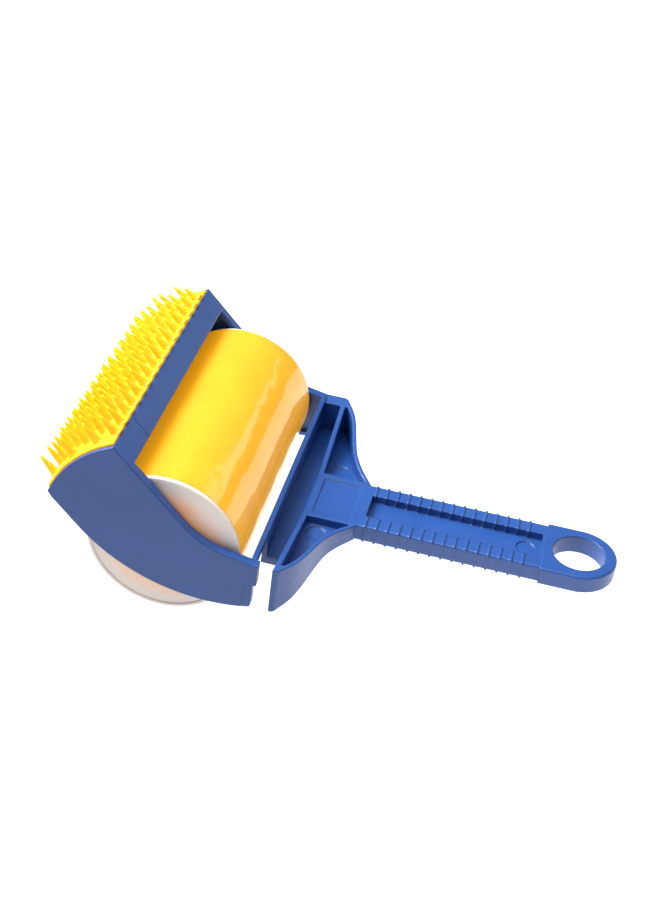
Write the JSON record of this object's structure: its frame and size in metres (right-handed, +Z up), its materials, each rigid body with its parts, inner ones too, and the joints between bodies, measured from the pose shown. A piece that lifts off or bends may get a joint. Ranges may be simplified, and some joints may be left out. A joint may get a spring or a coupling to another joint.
{
  "type": "lint roller",
  "caption": "Washable sticky lint roller on a ribbed plastic handle with a hanging hole, a rubber finger pad along the front of its cradle and a removable side cover.",
  "frame": {"origin": "centre of the part's bounding box, on the flat surface that it rests on", "axes": "+X along the handle towards the hanging ring, +Y along the roller's axis towards the side plate that is one with the frame, +Z up as the part lies on its roller and its ring"},
  "size_m": [0.2782, 0.16, 0.1055],
  "materials": {
    "blue_plastic": "satin",
    "yellow_rubber": "satin",
    "sticky_rubber": "gloss",
    "cream_plastic": "satin"
  },
  "bodies": {
    "cradle": {"handle_frame": "blue_plastic", "finger_pad": "yellow_rubber"},
    "cover": {"end_cover": "blue_plastic"},
    "roller": {"roller_core": "cream_plastic", "sticky_sleeve": "sticky_rubber", "roller_cap_near": "cream_plastic", "roller_cap_far": "cream_plastic"}
  },
  "joints": [
    {"name": "roller_spin", "type": "hinge", "parent": "cradle", "child": "roller", "pos_m": [-0.07919, 0, 0.0396], "axis": [0, 1, 0], "continuous": true},
    {"name": "cover_slide", "type": "slide", "parent": "cradle", "child": "cover", "axis": [0, -1, 0], "range_m": [0, 0.025]}
  ]
}
